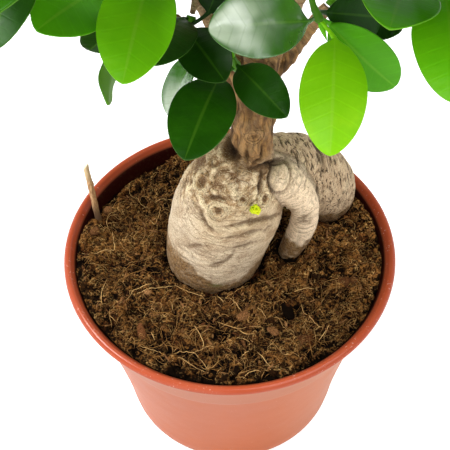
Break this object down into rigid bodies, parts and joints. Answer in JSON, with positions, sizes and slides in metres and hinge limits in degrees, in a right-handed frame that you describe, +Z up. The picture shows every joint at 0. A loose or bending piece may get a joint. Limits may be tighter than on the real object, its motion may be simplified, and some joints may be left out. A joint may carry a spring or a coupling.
{
  "type": "potted ginseng ficus",
  "caption": "Small bonsai-style fig with swollen bare roots and leafy sprays, growing in soil in a round tapered plastic plant pot.",
  "frame": {"origin": "centre of the pot's flat underside", "axes": "+Z up along the pot's axis, -Y towards the plant's front with the green bud, +X towards the thick side root"},
  "size_m": [0.1621, 0.148, 0.2846],
  "materials": {
    "terracotta_plastic": "satin",
    "potting_soil": "loose fibrous potting soil",
    "fig_bark": "smooth pale bark",
    "fig_leaf": "glossy leaf",
    "bud_green": "fresh bud",
    "dry_twig": "dry bare twig"
  },
  "bodies": {
    "root": {"pot": "terracotta_plastic", "soil": "potting_soil", "rooted_trunk": "fig_bark", "green_bud": "bud_green", "dry_stick": "dry_twig", "leafy_spray_front": "fig_leaf", "leafy_spray_left_hanging": "fig_leaf", "leafy_spray_left": "fig_leaf", "leafy_spray_left_low": "fig_leaf", "leafy_spray_left_middle": "fig_leaf", "leafy_spray_left_high": "fig_leaf", "leafy_spray_front_left": "fig_leaf", "leafy_spray_right": "fig_leaf", "leafy_spray_right_low": "fig_leaf", "leafy_spray_right_high": "fig_leaf", "leafy_spray_right_back": "fig_leaf", "leafy_spray_back": "fig_leaf", "leafy_spray_back_left": "fig_leaf", "leafy_spray_back_right": "fig_leaf", "leafy_spray_top": "fig_leaf", "leafy_spray_top_back": "fig_leaf", "leafy_spray_top_front": "fig_leaf", "leafy_spray_front_right": "fig_leaf", "leafy_spray_top_right": "fig_leaf"}
  },
  "joints": []
}
